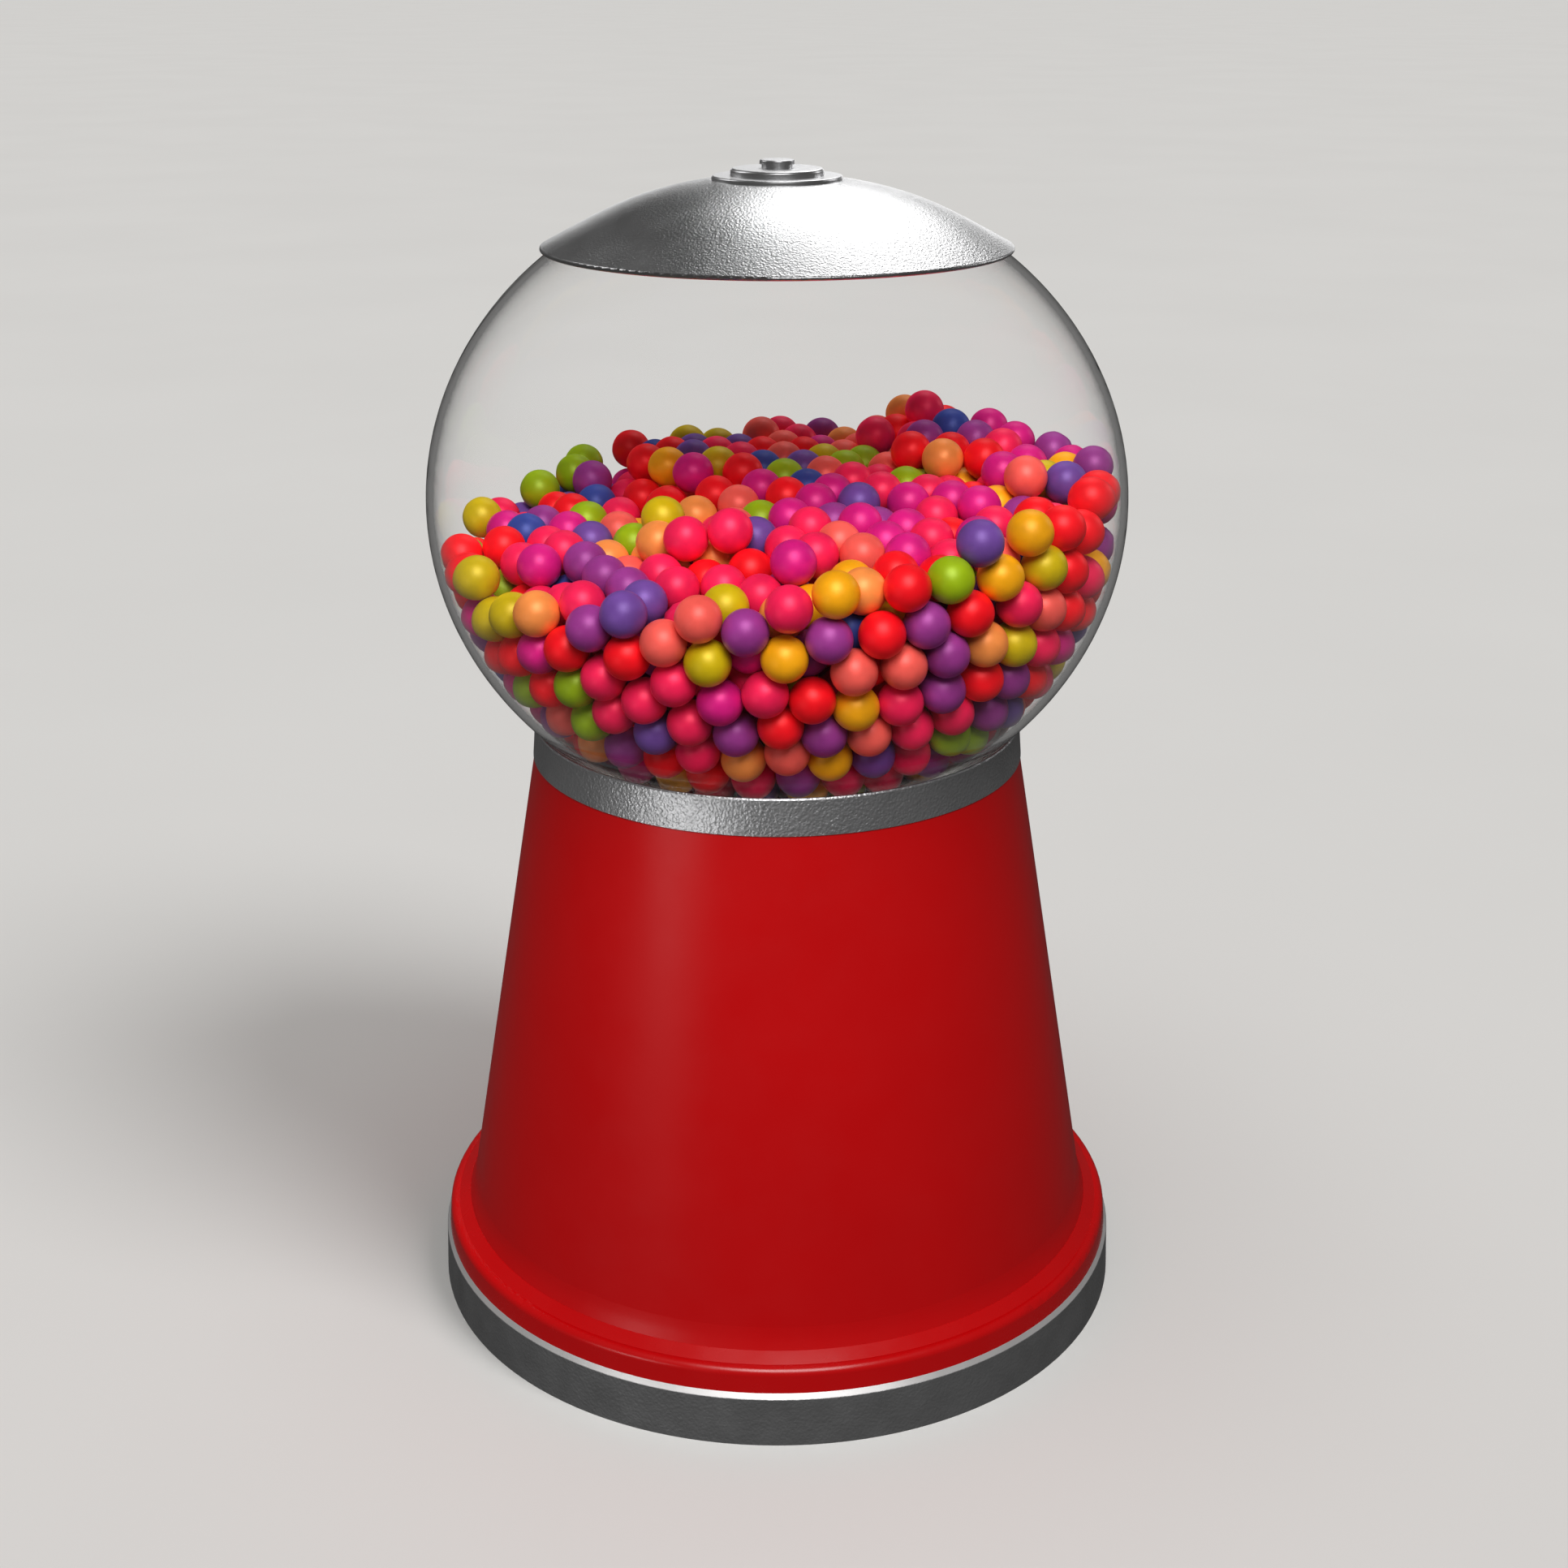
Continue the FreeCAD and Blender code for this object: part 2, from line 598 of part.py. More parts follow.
def gumball_wheel():
    """Dispensing wheel: one pocket for each turn of the handle, gear teeth below."""
    wheel = disc(WHEEL_R, WHEEL_Z0, WHEEL_Z1)
    wheel = wheel.cut(disc(BOSS_R + RUNNING, WHEEL_Z0 - 1, WHEEL_Z1 + 1))
    pitch = 360.0 / POCKETS
    for k in range(POCKETS):
        x, y = polar(POCKET_CIRCLE, -90 + pitch * k)
        wheel = wheel.cut(disc(POCKET_R, WHEEL_Z0 - 1, WHEEL_Z1 + 1, x, y))
        mouth = Part.makeCone(POCKET_R, POCKET_R + 1.6, 1.6, vec(x, y, WHEEL_Z1 - 1.5), AXIS_Z)
        wheel = wheel.cut(mouth)
    step = 360.0 / WHEEL_TEETH
    tooth = crown_tooth()
    teeth = [turned_copy(tooth, -90 + step * (k + 0.5)) for k in range(WHEEL_TEETH)]
    return wheel.fuse(teeth).removeSplitter()


def agitator():
    """Three short blades on a ring, which keep the gumballs moving."""
    foot_z = WHEEL_Z1 + 1
    tip_z = WHEEL_Z1 + 15
    piece = ring(10.0, 14.0, WHEEL_Z1, WHEEL_Z1 + 2.5)
    blade = prism_y([(11.0, foot_z), (20.4, foot_z), (18.0, tip_z), (13.0, tip_z)], -1.5, 1.5)
    blade = blade.makeFillet(1.0, [e for e in blade.Edges if e.BoundBox.ZMin > tip_z - 1])
    for k in range(3):
        piece = piece.fuse(turned_copy(blade, 30 + 120 * k))
    return piece.removeSplitter()


def tie_rod():
    return disc(ROD_R, 2.4, BOSS_TOP + 4.6)


def rod_washers():
    bottom = disc(8.0, PLATE_Z0 - 1.0, PLATE_Z0).cut(disc(ROD_R, 0, 20))
    top = disc(8.6, BOSS_TOP, BOSS_TOP + 1.0).cut(disc(ROD_R, BOSS_TOP - 1, BOSS_TOP + 2))
    return Part.Compound([bottom, top])


def rod_bottom_nut():
    return hexagon(5.8, 3.0, PLATE_Z0 - 1.0).cut(disc(ROD_R, 0, 20))


def rod_cap_nut():
    z0 = BOSS_TOP + 1.0
    nut = hexagon(5.8, z0, z0 + 3.2)
    dome = Part.makeSphere(4.6, vec(0, 0, z0 + 2.4))
    dome = dome.common(disc(5, z0 + 3.0, z0 + 8))
    return nut.fuse(dome).cut(disc(ROD_R, z0 - 1, BOSS_TOP + 4.6))


# ---- chute and outlet ------------------------------------------------------
def ramp_outline(grow):
    """Side outline of the ramp, from below the wheel down to the outlet."""
    back = -POCKET_CIRCLE + CHUTE_R + grow
    front = BOSS_FACE_Y
    drop = 1.1 * grow
    return [(back, DROP_Z + grow), (back, RAMP_BACK_Z - drop), (front, OUTLET_Z0 - drop),
            (front, OUTLET_Z1 + drop), (RAMP_HIGH_Y, DROP_Z + grow)]


def chute():
    y = -POCKET_CIRCLE
    outer = prism_x(ramp_outline(CHUTE_WALL), -CHUTE_HALF - CHUTE_WALL, CHUTE_HALF + CHUTE_WALL)
    outer = outer.fuse(disc(CHUTE_R + CHUTE_WALL, DROP_Z - 5, FLOOR_Z0, 0, y))
    inner = prism_x(ramp_outline(0), -CHUTE_HALF, CHUTE_HALF)
    inner = inner.fuse(disc(CHUTE_R, DROP_Z - 5, FLOOR_Z0 + 1, 0, y))
    return outer.cut(inner).removeSplitter()


def coin_deflector():
    """Ridge roof over the ramp that sheds coins to both sides."""
    half = CHUTE_HALF + CHUTE_WALL
    rise = 7.0
    sheet = 1.2
    low_y = BOSS_FACE_Y + BODY_WALL
    high_y = -62.0
    roof_front, roof_back = ramp_outline(CHUTE_WALL)[-2:]
    slope = (roof_back[1] - roof_front[1]) / (roof_back[0] - roof_front[0])
    low_z = roof_front[1] + BODY_WALL * slope
    roof = [(-half, low_z), (0, low_z + rise), (half, low_z), (half - sheet * 2, low_z),
            (0, low_z + rise - sheet), (-half + sheet * 2, low_z)]
    corners = [vec(x, low_y, z) for x, z in roof]
    face = Part.Face(Part.makePolygon(corners + corners[:1]))
    return face.extrude(vec(0, high_y - low_y, (high_y - low_y) * slope))


def chute_spout():
    """Outlet cup on the front plate, with side cheeks that carry the door's pin."""
    front = FRONT_Y - 16.3
    foot_z = OUTLET_Z0 - 8.0
    top_z = HINGE_Z + 6.5
    lip_z = 103.5
    roof_z = HINGE_Z + 3.1
    outer = prism_x([(FRONT_Y, foot_z), (FRONT_Y - 11.5, foot_z), (front, foot_z + 4),
                     (front, lip_z + 1), (HINGE_Y - 3.2, top_z - 2), (HINGE_Y - 1.2, top_z),
                     (FRONT_Y, top_z)], -SPOUT_HALF, SPOUT_HALF)
    inner = prism_x([(FRONT_Y + 1, OUTLET_Z0), (front + 2.4, 96.5), (front + 2.4, lip_z),
                     (front - 1, lip_z), (HINGE_Y - 4.0, roof_z), (FRONT_Y + 1, roof_z)],
                    -SPOUT_INNER, SPOUT_INNER)
    ears = rounded_box(-20.5, 20.5, FRONT_Y - SPOUT_EAR, FRONT_Y, SPOUT_SCREW_Z - 8,
                       SPOUT_SCREW_Z + 8, 5.0)
    spout = outer.fuse(ears).cut(inner)
    spout = spout.cut(rod_x(PIN_R, -20, 20, HINGE_Y, HINGE_Z))
    for x, z in spout_screw_spots():
        spout = spout.cut(rod_y(1.3, FRONT_Y - 5, FRONT_Y + 1, x, z))
    return spout.removeSplitter()


def spout_screw_spots():
    return [(side * SPOUT_SCREW_X, SPOUT_SCREW_Z) for side in (-1, 1)]


def spout_screws():
    seat = FRONT_Y - SPOUT_EAR
    return Part.Compound([screw_y(x, z, seat, 2.2, 1.4, 1.25, 6.5) for x, z in spout_screw_spots()])


def door_pin():
    return rod_x(PIN_R, -SPOUT_HALF - 0.6, SPOUT_HALF + 0.6, HINGE_Y, HINGE_Z)


def chute_door():
    """Flap that hangs on the pin and closes the outlet by its own weight."""
    half = SPOUT_INNER - 0.3
    flap = box(-half, half, -0.8, 0.8, -DOOR_LENGTH, 0)
    flap = flap.makeFillet(0.7, [e for e in flap.Edges if e.BoundBox.ZMax < 1 - DOOR_LENGTH])
    grip = prism_x([(-0.8, 1.5 - DOOR_LENGTH), (-2.6, 0.3 - DOOR_LENGTH),
                    (-0.8, 4.0 - DOOR_LENGTH)], -8, 8)
    flap = flap.fuse(grip)
    flap.rotate(CENTRE, vec(1, 0, 0), -DOOR_LEAN)
    flap.translate(vec(0, HINGE_Y, HINGE_Z))
    door = flap.fuse(rod_x(2.4, -half, half, HINGE_Y, HINGE_Z))
    return door.cut(rod_x(PIN_R + 0.06, -20, 20, HINGE_Y, HINGE_Z)).removeSplitter()


# ---- coin mechanism --------------------------------------------------------
def frame_screw_spots():
    return [(side * 24.2, z) for side in (-1, 1) for z in (158.0, 178.0)]


def front_plate():
    plate = rounded_box(-PLATE_HALF, PLATE_HALF, FRONT_Y, BOSS_FACE_Y, FRONT_Z0, FRONT_Z1, 6.0)
    plate = plate.cut(rod_y(CARRIER_R + RUNNING, FRONT_Y - 1, BOSS_FACE_Y + 1))
    plate = plate.cut(box(-CHUTE_HALF, CHUTE_HALF, FRONT_Y - 1, BOSS_FACE_Y + 1,
                          OUTLET_Z0, OUTLET_Z1))
    for x, z in front_screw_spots():
        plate = plate.cut(rod_y(1.55, FRONT_Y - 1, BOSS_FACE_Y + 1, x, z))
    for x, z in frame_screw_spots():
        plate = plate.cut(rod_y(1.25, FRONT_Y - 1, BOSS_FACE_Y + 1, x, z))
    for x, z in spout_screw_spots():
        plate = plate.cut(rod_y(1.25, FRONT_Y - 1, BOSS_FACE_Y + 1, x, z))
    return plate


def plate_screws():
    screws = [screw_y(x, z, FRONT_Y, 3.0, 1.8, 1.5, 8.5) for x, z in front_screw_spots()]
    return Part.Compound(screws)


def coin_bezel():
    bezel = ring_y(CARRIER_R + 0.3, BEZEL_R, FRONT_Y - BEZEL_T, FRONT_Y)
    rim = [e for e in bezel.Edges if e.BoundBox.YMax < FRONT_Y - BEZEL_T + 0.01]
    return bezel.makeFillet(0.7, [max(rim, key=lambda e: e.Length)])


def mech_frame():
    """Folded bracket behind the front plate that carries the shaft's rear bearing."""
    half = FRAME_HALF + FRAME_T
    frame = box(-half, half, BOSS_FACE_Y, WEB_Y1, FRAME_Z0, FRAME_Z1)
    frame = frame.cut(box(-FRAME_HALF, FRAME_HALF, BOSS_FACE_Y - 1, WEB_Y0,
                          FRAME_Z0 - 1, FRAME_Z1 + 1))
    for side in (-1, 1):
        x0, x1 = sorted((side * (half - 0.5), side * FRAME_BEND))
        frame = frame.fuse(box(x0, x1, BOSS_FACE_Y, BOSS_FACE_Y + 1.6, FRAME_Z0 + 1.5,
                               FRAME_Z1 - 2.5))
    for x, z in frame_screw_spots():
        frame = frame.cut(rod_y(1.25, BOSS_FACE_Y - 1, BOSS_FACE_Y + 3, x, z))
    return frame.cut(rod_y(5.0, WEB_Y0 - 1, WEB_Y1 + 1)).removeSplitter()


def frame_screws():
    screws = [screw_y(x, z, FRONT_Y, 2.3, 1.4, 1.25, 5.6) for x, z in frame_screw_spots()]
    return Part.Compound(screws)


def shaft_bush():
    return ring_y(SHAFT_R + 0.05, 5.0, WEB_Y0 - 0.8, WEB_Y1 + 0.4)


def coin_carrier():
    """Drum with the coin slot, turned by the handle."""
    drum = rod_y(CARRIER_R, CARRIER_Y0, CARRIER_Y1)
    z0 = SHAFT_Z + COIN_Z
    face_y = CARRIER_Y0 + 3.4
    end_y = face_y + COIN_W
    drum = drum.cut(box(-COIN_W / 2, COIN_W / 2, CARRIER_Y0 - 1, end_y, z0, z0 + COIN_T))
    drum = drum.cut(box(-COIN_W / 2, COIN_W / 2, face_y, end_y, z0, SHAFT_Z + CARRIER_R + 1))
    return drum.cut(rod_y(SHAFT_R, CARRIER_Y0 - 1, CARRIER_Y1 + 1))


def drive_shaft():
    shaft = rod_y(SHAFT_R, SHAFT_Y0, SHAFT_Y1)
    return shaft.cut(rod_y(SCREW_TAP_R, SHAFT_Y0 - 1, SHAFT_Y0 + 9))


def shaft_clip():
    return ring_y(SHAFT_R, CLIP_R, WEB_Y0 - 2.0, WEB_Y0 - 1.1)


def ratchet_wheel():
    """Saw-toothed wheel that lets the shaft turn one way only."""
    step = 360.0 / RATCHET_TEETH
    outline = []
    for k in range(RATCHET_TEETH):
        outline.append(polar(RATCHET_R, step * k))
        outline.append(polar(RATCHET_ROOT, step * k - 3.0))
    wheel = prism_y([(x, SHAFT_Z + z) for x, z in outline], RATCHET_Y0, RATCHET_Y1)
    return wheel.cut(rod_y(SHAFT_R, RATCHET_Y0 - 1, RATCHET_Y1 + 1))


def ratchet_pawl():
    """Leaf spring on the frame's side wall that clicks over the ratchet's teeth."""
    wall = FRAME_HALF
    leaf = 0.6
    foot_z = FRAME_Z0 + 2.5
    bend_z = SHAFT_Z - 3.2
    tip_x = 10.2
    tip_z = SHAFT_Z + 1.2
    points = [(wall, foot_z), (wall, bend_z), (tip_x, tip_z), (tip_x - 0.2, tip_z - leaf),
              (wall - leaf, bend_z - leaf), (wall - leaf, foot_z)]
    return prism_y(points, RATCHET_Y0 - 0.5, RATCHET_Y1 + 0.5)


def drive_pinion():
    """Ten-tooth pinion at the shaft's inner end, with one tooth pointing up."""
    tip_r = PINION_R + ADDENDUM
    root_r = PINION_R - DEDENDUM
    y0, y1 = -GEAR_R - FACE / 2, -GEAR_R + FACE / 2
    pinion = rod_y(root_r, y0, y1)
    tip = TOOTH_HALF - ADDENDUM * FLANK
    foot = TOOTH_HALF + 0.75 * DEDENDUM * FLANK
    foot_z = root_r - 0.6
    tooth = prism_y([(-foot, foot_z), (-TOOTH_HALF, PINION_R), (-tip, tip_r), (tip, tip_r),
                     (TOOTH_HALF, PINION_R), (foot, foot_z)], y0, y1)
    tooth.translate(vec(0, 0, SHAFT_Z))
    centre = vec(0, 0, SHAFT_Z)
    step = 360.0 / PINION_TEETH
    teeth = [turned_copy(tooth, step * k, centre, AXIS_Y) for k in range(PINION_TEETH)]
    return pinion.fuse(teeth).cut(rod_y(SHAFT_R, y0 - 1, y1 + 1)).removeSplitter()


def crank_handle():
    """Two-winged handle, level at rest."""
    back = CARRIER_Y0 - HANDLE_GAP
    front = back - HANDLE_T
    wing_back = back - 3.0
    waist = 4.0
    hub = rod_y(8.0, front, back)
    wings = []
    for side in (-1, 1):
        x1 = side * HANDLE_REACH
        wings.append(rod_y(HANDLE_END_R, front, wing_back, x1))
        outline = [(0, SHAFT_Z - waist), (x1, SHAFT_Z - HANDLE_END_R),
                   (x1, SHAFT_Z + HANDLE_END_R), (0, SHAFT_Z + waist)]
        wings.append(prism_y(outline, front, wing_back))
    handle = hub.fuse(wings).removeSplitter()
    rim = [e for e in handle.Edges if e.BoundBox.YMax < front + 0.01]
    handle = handle.makeFillet(1.6, rim)
    handle = handle.cut(rod_y(SHAFT_R, SHAFT_Y0, back + 1))
    handle = handle.cut(rod_y(SCREW_TAP_R, front - 1, back))
    return handle.cut(rod_y(3.6, front - 1, front + HANDLE_SEAT))


def handle_screw():
    seat = CARRIER_Y0 - HANDLE_GAP - HANDLE_T + HANDLE_SEAT
    return screw_y(0, SHAFT_Z, seat, 3.4, 1.6, SCREW_TAP_R, 8.0)


def main():
    os.makedirs(SAVE_DIR, exist_ok=True)
    lid = lid_shell()
    pieces = {
        "base_ring": base_ring(), "base_plate": base_plate(), "base_screws": base_screws(),
        "foot_pads": foot_pads(), "coin_cap": coin_cap(), "base_flange": base_flange(),
        "body_shell": body_shell(), "collar_ring": collar_ring(),
        "collar_screws": collar_screws(), "globe_gasket": globe_gasket(),
        "globe_glass": globe_glass(), "gumball_fill": gumball_fill(), "lid_shell": lid,
        "lid_gasket": lid_gasket(lid),
        "finial_lower_disc": finial_disc(LOWER_DISC_R, LID_TOP_Z, LOWER_DISC_Z),
        "finial_upper_disc": finial_disc(UPPER_DISC_R, LOWER_DISC_Z, UPPER_DISC_Z),
        "finial_button": finial_button(),
        "finial_nut": finial_nut(), "hopper": hopper(), "ball_guard": ball_guard(),
        "guard_screws": guard_screws(), "gumball_wheel": gumball_wheel(), "agitator": agitator(),
        "tie_rod": tie_rod(), "rod_washers": rod_washers(), "rod_bottom_nut": rod_bottom_nut(),
        "rod_cap_nut": rod_cap_nut(), "chute": chute(), "coin_deflector": coin_deflector(),
        "chute_spout": chute_spout(), "spout_screws": spout_screws(), "door_pin": door_pin(),
        "chute_door": chute_door(), "front_plate": front_plate(), "plate_screws": plate_screws(),
        "coin_bezel": coin_bezel(), "mech_frame": mech_frame(), "frame_screws": frame_screws(),
        "shaft_bush": shaft_bush(), "coin_carrier": coin_carrier(), "drive_shaft": drive_shaft(),
        "shaft_clip": shaft_clip(), "ratchet_wheel": ratchet_wheel(),
        "ratchet_pawl": ratchet_pawl(), "drive_pinion": drive_pinion(),
        "crank_handle": crank_handle(), "handle_screw": handle_screw()}
    for name, shape in pieces.items():
        save(name, shape)


main()
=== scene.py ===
import json
import math

import bmesh
import bpy
import numpy as np
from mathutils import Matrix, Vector


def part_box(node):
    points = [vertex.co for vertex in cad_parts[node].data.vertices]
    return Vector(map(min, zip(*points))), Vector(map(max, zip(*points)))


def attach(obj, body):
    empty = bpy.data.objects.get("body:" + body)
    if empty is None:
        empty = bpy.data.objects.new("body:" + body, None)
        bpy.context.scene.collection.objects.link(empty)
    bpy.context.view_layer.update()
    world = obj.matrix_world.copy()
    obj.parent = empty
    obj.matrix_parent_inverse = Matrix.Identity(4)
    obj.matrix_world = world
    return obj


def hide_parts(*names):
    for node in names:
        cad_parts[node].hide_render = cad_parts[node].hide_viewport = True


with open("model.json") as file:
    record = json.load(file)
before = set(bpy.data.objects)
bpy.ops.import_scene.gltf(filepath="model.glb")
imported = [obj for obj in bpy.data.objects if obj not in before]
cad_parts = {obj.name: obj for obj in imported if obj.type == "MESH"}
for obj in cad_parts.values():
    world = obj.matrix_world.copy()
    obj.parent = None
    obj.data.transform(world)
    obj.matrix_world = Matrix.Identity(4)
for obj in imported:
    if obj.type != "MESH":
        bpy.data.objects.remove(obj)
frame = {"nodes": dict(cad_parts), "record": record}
NODES = frame["nodes"]
SLOTS = {row["node"]: row["material_slot"] for row in frame["record"]["subparts"]}
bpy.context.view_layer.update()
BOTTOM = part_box("base_ring")[0].z
MM = 0.001


# ---- camera, floor and light ------------------------------------------------
CAMERA_AT = (0, 0.6844, 0.4395)
CAMERA_PITCH = 20.96            # degrees below level
LENS, SENSOR = 50, 36
SHIFT_X = 0.0044                # centres the machine
AIM_HEIGHT = 0.18               # lamps point at this height on the machine's axis
SUN_DISTANCE = 3.0
FLOOR_HALF = 40.0

# Strength of the world where it is seen, lights things, is mirrored, and is turned in glass.
WORLD_SEEN, WORLD_FILL, WORLD_MIRRORED, WORLD_IN_GLASS = 0.72, 0.20, 0.05, 0.2
WORLD_COLOUR = (1.0, 0.985, 0.965, 1)


def make_camera():
    """Behind the machine, where the coin mechanism can't be seen."""
    data = bpy.data.cameras.new("camera")
    data.lens = LENS
    data.sensor_width = SENSOR
    data.shift_x = SHIFT_X
    camera = bpy.data.objects.new("camera", data)
    camera.location = CAMERA_AT
    camera.rotation_euler = (math.pi / 2 - math.radians(CAMERA_PITCH), 0, math.pi)
    bpy.context.scene.collection.objects.link(camera)
    bpy.context.scene.camera = camera


def aimed(name, kind, azimuth, elevation, distance):
    """A lamp aimed at the machine. Azimuth 0 is the camera's side, + is its right."""
    data = bpy.data.lights.new(name, kind)
    lamp = bpy.data.objects.new(name, data)
    a, e = math.radians(azimuth), math.radians(elevation)
    way = Vector((-math.sin(a) * math.cos(e), math.cos(a) * math.cos(e), math.sin(e)))
    lamp.location = Vector((0, 0, AIM_HEIGHT)) + way * distance
    lamp.rotation_euler = way.to_track_quat("Z", "Y").to_euler()
    bpy.context.scene.collection.objects.link(lamp)
    return lamp


def softbox(name, azimuth, elevation, distance, size, power):
    """Soft square-cornered lamp that can't be seen itself."""
    lamp = aimed(name, "AREA", azimuth, elevation, distance)
    lamp.data.shape = "RECTANGLE"
    lamp.data.size, lamp.data.size_y = size
    lamp.data.energy = power
    lamp.visible_transmission = False
    lamp.visible_camera = False
    return lamp


def floor_wash(name, azimuth, elevation, spread, power):
    """Even light, with soft shadows, for the floor."""
    lamp = aimed(name, "SUN", azimuth, elevation, SUN_DISTANCE)
    lamp.data.angle = math.radians(spread)
    lamp.data.energy = power
    return lamp


def link_light(lamps, name, things, state):
    """Lets these lamps light only the things (INCLUDE), or all but the things (EXCLUDE)."""
    group = bpy.data.collections.new(name)
    for number, thing in enumerate(things):
        group.objects.link(thing)
        group.collection_objects[number].light_linking.link_state = state
    for lamp in lamps:
        lamp.light_linking.receiver_collection = group


def maths(tree, operation, a, b):
    """Result of one sum in a node tree, where a and b are numbers or sockets."""
    node = tree.nodes.new("ShaderNodeMath")
    node.operation = operation
    for socket, value in zip(node.inputs, (a, b)):
        if isinstance(value, bpy.types.NodeSocket):
            tree.links.new(value, socket)
        else:
            socket.default_value = value
    return node.outputs[0]


def path_kind(tree):
    """1 for light falling on things, 1 for mirrored light too, 1 for light turned within glass."""
    path = tree.nodes.new("ShaderNodeLightPath").outputs
    lighting = maths(tree, "GREATER_THAN", path["Diffuse Depth"], 0.5)
    bounces = maths(tree, "ADD", path["Diffuse Depth"], path["Glossy Depth"])
    indirect = maths(tree, "GREATER_THAN", bounces, 0.5)
    through = maths(tree, "COMPARE", path["Transmission Depth"], 2)
    within = maths(tree, "MULTIPLY", maths(tree, "SUBTRACT", indirect, lighting), through)
    return lighting, indirect, within


def make_world():
    """Pale to look at, dim as a fill light, and dark in reflections."""
    world = bpy.data.worlds.new("studio")
    world.use_nodes = True
    tree = world.node_tree
    lighting, indirect, within = path_kind(tree)
    strength = WORLD_SEEN
    for kind, gain in ((indirect, WORLD_MIRRORED - WORLD_SEEN),
                       (lighting, WORLD_FILL - WORLD_MIRRORED),
                       (within, WORLD_IN_GLASS - WORLD_MIRRORED)):
        strength = maths(tree, "ADD", strength, maths(tree, "MULTIPLY", kind, gain))
    background = tree.nodes["Background"]
    background.inputs["Color"].default_value = WORLD_COLOUR
    tree.links.new(strength, background.inputs["Strength"])
    bpy.context.scene.world = world


def make_floor():
    """Pale floor that neither lights the machine nor shows in its reflections."""
    h = FLOOR_HALF
    mesh = bpy.data.meshes.new("floor")
    mesh.from_pydata([(-h, -h, 0), (h, -h, 0), (h, h, 0), (-h, h, 0)], [], [(0, 1, 2, 3)])
    floor = bpy.data.objects.new("floor", mesh)
    floor.location.z = BOTTOM
    bpy.context.scene.collection.objects.link(floor)
    paint = Look("floor_paint", (0.80, 0.79, 0.77), roughness=0.9)
    paint.colour(paint.mottle((0.80, 0.79, 0.77), (0.785, 0.775, 0.755), 3.0))
    paint.shader.inputs["Specular IOR Level"].default_value = 0.1
    indirect = path_kind(paint.tree)[1]
    air = paint.node("BsdfTransparent").outputs[0]
    mixed = paint.node("MixShader", {0: indirect, 1: paint.shader.outputs[0], 2: air})
    paint.tree.links.new(mixed.outputs[0], paint.tree.nodes["Material Output"].inputs["Surface"])
    floor.data.materials.append(paint.material)
    return floor


def make_studio():
    """Each lamp: azimuth, elevation, distance, size and power, in degrees, metres and watts."""
    bpy.context.scene.view_settings.view_transform = "Standard"
    make_world()
    floor = make_floor()
    unlit = [NODES["globe_glass"], floor]
    enamel = [NODES["body_shell"], NODES["base_flange"]]
    lid = [NODES[name] for name in ("lid_shell", "finial_lower_disc", "finial_upper_disc",
                                    "finial_button")]
    chrome = [NODES[name] for name, slot in SLOTS.items() if slot == "chrome_plate"]
    main_lamps = [softbox("key", 4, 50, 1.3, (0.7, 0.8), 17),
                  softbox("left_strip", -44, 1, 1.4, (0.40, 0.34), 1.6),
                  softbox("far_side", 200, 35, 1.6, (1.0, 1.0), 12)]
    main_lamps[-1].visible_glossy = False
    link_light(main_lamps, "no_glare", unlit + lid, "EXCLUDE")
    metal_lamps = [softbox("top", 166, 50, 1.1, (0.44, 0.6), 3.3),
                   softbox("rim", 122, 22, 1.3, (0.2, 0.4), 0.9),
                   softbox("back", 176, 8, 1.5, (1.0, 0.4), 2.4),
                   softbox("lid_side", -112, 40, 1.2, (0.5, 0.6), 1.6),
                   softbox("lid_front", 10, 48, 1.3, (0.7, 0.5), 3.5)]
    link_light(metal_lamps, "bare_metal", unlit + enamel, "EXCLUDE")
    low_strip = softbox("low_strip", -38, -13, 0.6, (0.34, 0.08), 0.55)
    link_light([low_strip], "collar_only", [NODES["collar_ring"]], "INCLUDE")
    strip_glow = softbox("strip_glow", 0, 24, 1.3, (1.4, 0.2), 1.6)
    link_light([strip_glow], "strip_only", [NODES["base_ring"]], "INCLUDE")
    glows = [softbox("front_glow", 180, 8, 1.6, (2.4, 0.7), 9),
             softbox("floor_glow", 180, -40, 1.3, (3.0, 1.4), 14)]
    link_light(glows, "chrome_only", chrome, "INCLUDE")
    washes = [floor_wash("wash_front", 52, 48, 25, 1.5), floor_wash("wash_top", -30, 80, 60, 0.9)]
    link_light(washes, "floor_only", [floor], "INCLUDE")


# ---- materials --------------------------------------------------------------
CHAMFER_EDGE = (16.55 * MM, 16.75 * MM)     # heights between which the base ring turns bright
GLASS_IOR = 1.13                            # low, for a globe with hardly any reflections


